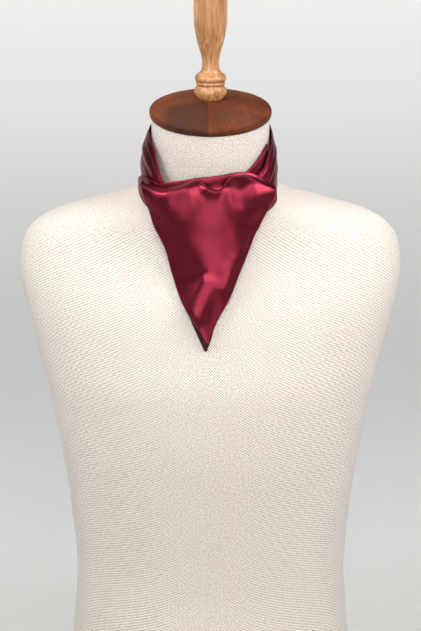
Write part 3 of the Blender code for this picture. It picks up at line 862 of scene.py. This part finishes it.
# %% The surface that the front lies on
Front = namedtuple("Front", "z depth radius")
FRONT = (
    Front(0.405, -0.1100, 0.230),
    Front(0.430, -0.1055, 0.212),
    Front(0.460, -0.0995, 0.190),
    Front(0.490, -0.0945, 0.158),
    Front(0.520, -0.0910, 0.130),
    Front(0.545, -0.0886, 0.112),
    Front(0.560, -0.0866, 0.101),
    Front(0.575, -0.0808, 0.091),
    Front(0.590, -0.0678, 0.084),
)
Bend = namedtuple("Bend", "z x softness slope")
LEFT_BEND = (
    Bend(0.4400, -0.0250, 0.0026, 0.30),
    Bend(0.4520, -0.0200, 0.0020, 0.42),
    Bend(0.4640, -0.0145, 0.0018, 0.46),
    Bend(0.4745, -0.0105, 0.0016, 0.46),
    Bend(0.4820, -0.0070, 0.0018, 0.42),
    Bend(0.4880, -0.0050, 0.0022, 0.36),
    Bend(0.4960, -0.0080, 0.0028, 0.30),
    Bend(0.5116, -0.0190, 0.0036, 0.24),
    Bend(0.5295, -0.0310, 0.0040, 0.20),
    Bend(0.5475, -0.0450, 0.0045, 0.18),
    Bend(0.5620, -0.0640, 0.0045, 0.16),
    Bend(0.5700, -0.0740, 0.0045, 0.16),
)
RIGHT_BEND = (
    Bend(0.4400, 0.0060, 0.0030, 0.16),
    Bend(0.4600, 0.0140, 0.0025, 0.20),
    Bend(0.4760, 0.0200, 0.0020, 0.22),
    Bend(0.4960, 0.0280, 0.0020, 0.22),
    Bend(0.5160, 0.0340, 0.0020, 0.22),
    Bend(0.5300, 0.0380, 0.0040, 0.20),
    Bend(0.5450, 0.0480, 0.0050, 0.16),
    Bend(0.5600, 0.0600, 0.0050, 0.10),
    Bend(0.5750, 0.0720, 0.0050, 0.06),
)
BEND_RELAX = 0.022
BEND_REST = 0.04
LARGEST_POWER = 40.0  # keeps the exponential below within what a number can hold

front_depth = table_curve(FRONT, "depth")
front_radius = table_curve(FRONT, "radius")


def bend_depth(rows, reach, z):
    """How far the cloth beyond a bend line falls back: steeply at first, then less."""
    softness = table_curve(rows, "softness")(z)
    beyond = softness * np.log1p(np.exp(np.minimum(reach / softness, LARGEST_POWER)))
    steep = (table_curve(rows, "slope")(z) - BEND_REST) * BEND_RELAX * (1 - np.exp(-beyond / BEND_RELAX))
    return BEND_REST * beyond + steep


def front_points(angle, z, inset):
    radius = front_radius(z)
    x = radius * np.sin(angle)
    left = bend_depth(LEFT_BEND, table_curve(LEFT_BEND, "x")(z) - x, z)
    right = bend_depth(RIGHT_BEND, x - table_curve(RIGHT_BEND, "x")(z), z)
    reach = radius - inset - left - right
    return np.stack([reach * np.sin(angle), front_depth(z) + radius - reach * np.cos(angle), z], axis=-1)


def arc_angle(x, z):
    return np.arcsin(x / front_radius(z))


print("arc radius at throat and chest:", FRONT[-1].radius, FRONT[0].radius)

# %% [markdown]
# Satin shows every fold, and a simulated cloth would fold where it likes, so each of the main folds
# has a row here. A fold is a soft ridge along a line, which may bow. It has a height at either end and
# fades out beyond them. Its width above the line differs from that below, so a crease can be crisp on
# one side and soft on the other. The side that tilts up catches the light and the side that tilts
# down goes dark. A negative height makes a hollow.

# %% Folds of the fall
Fold = namedtuple("Fold", "x0 z0 x1 z1 bow above below start end fade")
FOLDS = (
    # the hollow at the top left
    Fold(-0.0430, 0.5680, -0.0230, 0.5725, -0.0010, 0.0060, 0.0260, 0.0034, 0.0036, 0.011),
    # the left corner, and the crest below it
    Fold(-0.0735, 0.5480, -0.0715, 0.5740, 0.0000, 0.0080, 0.0340, 0.0040, 0.0100, 0.014),
    Fold(-0.0570, 0.5580, -0.0350, 0.5420, 0.0000, 0.0150, 0.0140, 0.0042, 0.0018, 0.012),
    # the right corner, and its bright cloth
    Fold(0.0670, 0.5540, 0.0700, 0.5720, 0.0000, 0.0320, 0.0100, 0.0030, 0.0100, 0.014),
    Fold(0.0420, 0.5510, 0.0640, 0.5580, 0.0000, 0.0160, 0.0160, 0.0040, 0.0062, 0.020),
    # the crescent at the top right, and the shadow under the notch
    Fold(0.0200, 0.5735, 0.0430, 0.5790, -0.0060, 0.0065, 0.0240, 0.0038, 0.0030, 0.009),
    Fold(-0.0005, 0.5752, 0.0040, 0.5740, 0.0000, 0.0060, 0.0090, 0.0064, 0.0050, 0.0080),
    # the dark band from the right corner to the middle
    Fold(0.0240, 0.5040, 0.0620, 0.5530, 0.0000, 0.0120, 0.0220, -0.0028, -0.0040, 0.010),
    # the bright patch low on the right
    Fold(0.0160, 0.4760, 0.0335, 0.5165, 0.0005, 0.0130, 0.0050, 0.0032, 0.0036, 0.012),
    # the streak above the tip, its foot, and the ridge into the tip
    Fold(-0.0205, 0.4480, -0.0070, 0.4780, 0.0002, 0.0026, 0.0200, 0.0026, 0.0032, 0.009),
    Fold(-0.0190, 0.4505, -0.0105, 0.4475, 0.0000, 0.0220, 0.0110, 0.0030, 0.0028, 0.008),
    Fold(-0.0160, 0.4460, -0.0050, 0.4120, 0.0000, 0.0100, 0.0030, 0.0016, 0.0026, 0.006),
)


def fold_height(x, z):
    """How far the folds move the cloth outwards. Folds are listed from their left end."""
    height = np.zeros_like(x)
    for fold in FOLDS:
        run = np.array([fold.x1 - fold.x0, fold.z1 - fold.z0])
        length = np.linalg.norm(run)
        run = run / length
        dx, dz = x - fold.x0, z - fold.z0
        along = dx * run[0] + dz * run[1]
        share = np.clip(along / length, 0.0, 1.0)
        bowed = fold.bow * (4 * share * (1 - share)) ** 2
        side = dz * run[0] - dx * run[1] - bowed
        width = np.where(side > 0, fold.above, fold.below)
        beyond = (along - share * length) / fold.fade
        height = height + mix(fold.start, fold.end, share) * np.exp(-((side / width) ** 2) - beyond**2)
    return height


print("folds on the fall:", len(FOLDS))

# %% [markdown]
# No stretch of worn silk is ever truly flat. A few long, shallow waves that cross each other keep
# the shine from looking like moulded plastic. They stay under a fifth of a millimetre.

# %% Slight unevenness
Wave = namedtuple("Wave", "across down height phase")
WAVES = (
    Wave(310.0, 70.0, 0.00003, 0.4),
    Wave(-170.0, 140.0, 0.00006, 2.1),
    Wave(420.0, -60.0, 0.00002, 3.9),
    Wave(90.0, 240.0, 0.00005, 5.0),
)


def unevenness(across, down):
    return sum(
        wave.height * np.sin(wave.across * across + wave.down * down + wave.phase)
        for wave in WAVES
    )


print("waves at most:", round(sum(wave.height for wave in WAVES), 5))

# %% [markdown]
# The front blade is the wide end that falls over the crossing and narrows to a point. Its outline
# comes from two tables, one for its sides and one for the top edge with its notch, because that is
# what the eye follows. At the top the cloth turns over a thin fold, and at the sides it rolls back,
# so no raw edge shows. Both use the tuck's helper, and the folds fade out under the turned top.

# %% The front blade
Side = namedtuple("Side", "z left right")
BLADE_SIDES = (
    Side(0.4165, -0.0040, -0.0014),
    Side(0.4318, -0.0138, 0.0042),
    Side(0.4416, -0.0211, 0.0092),
    Side(0.4604, -0.0332, 0.0204),
    Side(0.4842, -0.0426, 0.0303),
    Side(0.5070, -0.0486, 0.0405),
    Side(0.5215, -0.0557, 0.0468),
    Side(0.5310, -0.0612, 0.0525),
    Side(0.5427, -0.0646, 0.0584),
    Side(0.5534, -0.0680, 0.0638),
    Side(0.5620, -0.0708, 0.0680),
    Side(0.5730, -0.0732, 0.0696),
)
LEFT_CORNER = 0.5725
RIGHT_CORNER = 0.5690
BLADE_TIP = 0.4165
Top = namedtuple("Top", "x z")
BLADE_TOP = (
    Top(-0.0732, 0.5725),
    Top(-0.0602, 0.5704),
    Top(-0.0510, 0.5697),
    Top(-0.0394, 0.5732),
    Top(-0.0271, 0.5770),
    Top(-0.0158, 0.5805),
    Top(-0.0077, 0.5768),
    Top(0.0010, 0.5728),
    Top(0.0075, 0.5716),
    Top(0.0115, 0.5735),
    Top(0.0150, 0.5778),
    Top(0.0190, 0.5812),
    Top(0.0280, 0.5838),
    Top(0.0385, 0.5842),
    Top(0.0489, 0.5808),
    Top(0.0592, 0.5750),
    Top(0.0696, 0.5690),
)
ROLL_RADIUS = 0.0018
TOP_MARGIN = 0.006
MARGIN_ROWS = 6
ROLL_ROWS = 13
SIDE_ROLL = 0.0019
NARROW_ROLL = 0.2
FULL_ROLL_WIDTH = 0.030
BLADE_ROWS = 170
BLADE_COLUMNS = 140
ROLL_COLUMNS = 8
FIRST_ROW = 0.022
ROW_CROWDING = 1.08
TOP_SHAPE_FADE = 3


def front_blade():
    quarter = ROLL_RADIUS * math.pi / 2
    margin = np.linspace(-TOP_MARGIN, -quarter, MARGIN_ROWS)[:-1]
    over = np.concatenate([margin, np.linspace(-quarter, quarter, ROLL_ROWS)])
    face_rows = mix(FIRST_ROW, 1.0, shares(BLADE_ROWS) ** ROW_CROWDING)
    down = np.concatenate([np.zeros(len(over)), face_rows])[:, None]
    flat = np.zeros(BLADE_ROWS)
    drop, behind_top = (np.concatenate([part, flat])[:, None] for part in rolled(over, ROLL_RADIUS))
    left, right = table_curve(BLADE_SIDES, "left"), table_curve(BLADE_SIDES, "right")
    left_z = mix(LEFT_CORNER, BLADE_TIP, down)
    right_z = mix(RIGHT_CORNER, BLADE_TIP, down)
    width = right(right_z) - left(left_z)
    roll = np.minimum(SIDE_ROLL, NARROW_ROLL * width)
    curl = np.minimum(1.0, width / FULL_ROLL_WIDTH)

    turns = shares(ROLL_COLUMNS)
    inner = shares(BLADE_COLUMNS + 2)[1:-1]
    side_turn = np.concatenate([turns, np.ones(BLADE_COLUMNS), turns[::-1]])[None, :]
    share = np.concatenate([np.zeros(ROLL_COLUMNS), inner, np.ones(ROLL_COLUMNS)])[None, :]
    along, behind = rolled(side_turn * roll * math.pi / 2, roll)
    left_angle = arc_angle(left(left_z), left_z) + along / front_radius(left_z)
    right_angle = arc_angle(right(right_z), right_z) - along / front_radius(right_z)
    angle = mix(left_angle, right_angle, share)
    straight = mix(left_z, right_z, share)
    corners = mix(LEFT_CORNER, RIGHT_CORNER, share)
    corner_angle = mix(left_angle[0, share.argmin()], right_angle[0, share.argmax()], share)
    rise = table_curve(BLADE_TOP, "z")(front_radius(corners) * np.sin(corner_angle)) - corners
    z = straight + rise * (1 - down) ** TOP_SHAPE_FADE - drop
    points = front_points(angle, z, curl * behind + behind_top)
    fade = np.clip(1 - behind_top / ROLL_RADIUS, 0.0, 1.0)
    points[..., 1] -= fade * (fold_height(points[..., 0], z) + unevenness(points[..., 0], z))
    return cloth_shell("silk_front_blade", points, SILK)


blade = front_blade()
print("front blade length:", round(max(row.z for row in BLADE_TOP) - BLADE_TIP, 3))

# %% [markdown]
# The other pointed end hangs behind the front blade. Only its tip shows, below and to the left, in the
# front blade's shadow. It takes the rougher silk copy that is painted much darker, a painted shade, so
# it looks nearly black. It follows the same arc a few millimetres further in and runs on upwards,
# unseen, to the crossing.

# %% The blade beneath it
Under = namedtuple("Under", "z depth left right")
UNDER_BLADE = (
    Under(0.4065, 0.0041, -0.0062, -0.0040),
    Under(0.4200, 0.0041, -0.0125, 0.0010),
    Under(0.4416, 0.0041, -0.0222, 0.0060),
    Under(0.4604, 0.0043, -0.0285, 0.0150),
    Under(0.4842, 0.0045, -0.0365, 0.0240),
    Under(0.5070, 0.0050, -0.0440, 0.0330),
    Under(0.5250, 0.0070, -0.0480, 0.0390),
    Under(0.5400, 0.0100, -0.0420, 0.0370),
    Under(0.5520, 0.0125, -0.0340, 0.0320),
    Under(0.5640, 0.0150, -0.0260, 0.0260),
)
UNDER_ROWS = 100
UNDER_COLUMNS = 50


def under_blade():
    heights = np.linspace(UNDER_BLADE[-1].z, UNDER_BLADE[0].z, UNDER_ROWS)
    z, share = np.meshgrid(heights, shares(UNDER_COLUMNS), indexing="ij")
    x = mix(table_curve(UNDER_BLADE, "left")(z), table_curve(UNDER_BLADE, "right")(z), share)
    points = front_points(arc_angle(x, z), z, table_curve(UNDER_BLADE, "depth")(z))
    # painted shade: this blade takes the silk copy painted darker to stand in for its shadow
    return cloth_shell("silk_under_blade", points, SILK_PAINTED_SHADE)


beneath = under_blade()
print("under blade below the front one:", round(BLADE_TIP - UNDER_BLADE[0].z, 3))

# %% [markdown]
# Each stretch of silk is listed as a sheet with the size it was cut to. The two blades are pointed,
# so their area is given too. Cloth is laid on or wrapped round what carries it, so each sheet also
# names what it rests on. Below, only the piece and its solid are used: the piece is attached to the
# root and the solid is hidden.

Sheet = namedtuple("Sheet", "piece node width length area held rests_on")
SHEETS = (
    Sheet(left_band, "neckband_left", 0.185, 0.052, None, "folded", ["linen_torso"]),
    Sheet(right_band, "neckband_right", 0.185, 0.050, None, "folded", ["linen_torso"]),
    Sheet(tuck, "right_tuck", 0.045, 0.030, None, "folded", ["silk_neckband_right"]),
    Sheet(crossing, "throat_crossing", 0.200, 0.038, None, "draped", ["silk_neckband_left"]),
    Sheet(blade, "front_blade", 0.160, 0.185, 0.0165, "draped", ["silk_throat_crossing"]),
    Sheet(beneath, "under_blade", 0.095, 0.165, 0.0095, "hung", ["linen_torso"]),
)
for sheet in SHEETS:
    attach(sheet.piece, "root")
    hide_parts(sheet.node)
print("sheets of silk:", len(SHEETS))

# %% [markdown]
# A pale seamless floor runs far behind the form, so it fills the picture. Satin mirrors its whole
# surroundings, so where the lights are not matters as much as where they are. All lights are soft
# boxes: large rectangles with a grid in front, which narrows the beam. Six of them surround the
# throat: one above and in front for the roll at the top, a wide low one further off for the middle
# of the fall, and two on either side for its corners and the neckband. Four more hang high over the
# floor and light it alone. Cloth that turns away from them all mirrors the dim room and goes dark.

# %% Floor and lights
FLOOR_SIZE = 60.0
THROAT = (0.0, -0.06, 0.54)

SoftBox = namedtuple("SoftBox", "name energy place aim size spread")
SOFT_BOXES = (
    SoftBox("top_panel", 2.4, (0.10, -1.60, 1.80), THROAT, (1.3, 1.1), 50),
    SoftBox("left_wing", 1.5, (-1.14, -0.77, 1.82), THROAT, (0.8, 0.8), 50),
    SoftBox("right_wing", 1.7, (1.26, -0.74, 1.66), THROAT, (0.8, 0.8), 50),
    SoftBox("front_panel", 5.0, (0.0, -3.3, 0.86), THROAT, (4.3, 1.5), 45),
    SoftBox("left_side", 1.0, (-1.36, -0.25, 1.80), THROAT, (0.8, 0.8), 50),
    SoftBox("right_side", 1.0, (1.36, -0.25, 1.80), THROAT, (0.8, 0.8), 50),
    SoftBox("floor_behind", 800.0, (0.0, 6.2, 5.0), (0.0, 6.5, 0.0), (20.0, 10.0), 105),
    SoftBox("floor_ahead", 680.0, (0.0, -7.8, 5.0), (0.0, -7.8, 0.0), (20.0, 11.0), 66),
    SoftBox("floor_left", 230.0, (-7.4, -0.8, 5.0), (-7.4, -0.8, 0.0), (8.0, 5.0), 60),
    SoftBox("floor_right", 230.0, (7.4, -0.8, 5.0), (7.4, -0.8, 0.0), (8.0, 5.0), 60),
)
ROOM_LIGHT = 0.06


def pale_floor():
    mesh = bpy.data.meshes.new("floor")
    half = FLOOR_SIZE / 2
    corners = [(-half, -half, 0), (half, -half, 0), (half, half, 0), (-half, half, 0)]
    mesh.from_pydata(corners, [], [(0, 1, 2, 3)])
    made, tree, shader = new_material("pale_floor")
    set_inputs(tree, shader, {"Base Color": hex_colour("#DAD9D7"), "Roughness": 0.9})
    mesh.materials.append(made)
    floor = bpy.data.objects.new("floor", mesh)
    bpy.context.scene.collection.objects.link(floor)
    return floor


def hang(box):
    lamp = bpy.data.lights.new(box.name, "AREA")
    lamp.energy = box.energy
    lamp.shape = "RECTANGLE"
    lamp.size, lamp.size_y = box.size
    lamp.spread = math.radians(box.spread)
    made = bpy.data.objects.new(box.name, lamp)
    made.location = box.place
    made.rotation_euler = (Vector(box.aim) - Vector(box.place)).to_track_quat("-Z", "Y").to_euler()
    bpy.context.scene.collection.objects.link(made)


pale_floor()
for soft_box in SOFT_BOXES:
    hang(soft_box)
print("soft boxes:", len(SOFT_BOXES))

world = bpy.data.worlds.new("studio")
world.use_nodes = True
background = world.node_tree.nodes["Background"]
background.inputs["Color"].default_value = hex_colour("#DDE2EA")
background.inputs["Strength"].default_value = ROOM_LIGHT
bpy.context.scene.world = world
bpy.context.scene.view_settings.view_transform = "Standard"
